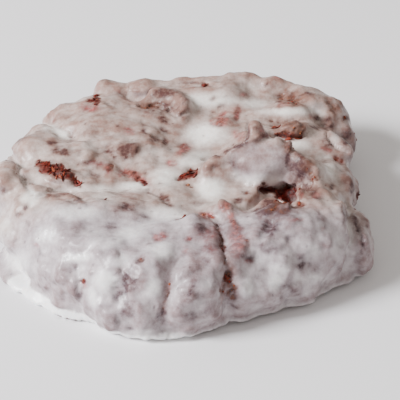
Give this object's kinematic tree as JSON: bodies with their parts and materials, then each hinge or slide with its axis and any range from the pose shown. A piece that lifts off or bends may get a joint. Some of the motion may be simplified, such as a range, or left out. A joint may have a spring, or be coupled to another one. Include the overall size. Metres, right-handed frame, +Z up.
{
  "type": "strawberry fritter",
  "caption": "Flat, lumpy fried-dough fritter with a dished top, deep creases, curled flaps, a raised crag and a thin ledge of set glaze at its base.",
  "frame": {"origin": "middle of the bounding box in plan, at the underside that the fritter rests on", "axes": "+Z up; +X along the fritter's longest side, from its left knob to its right lobe; +Y from its deeply creased front to its back"},
  "size_m": [0.1164, 0.1092, 0.0352],
  "materials": {
    "glazed_crust": "satin"
  },
  "bodies": {
    "root": {"fritter": "glazed_crust"}
  },
  "joints": []
}
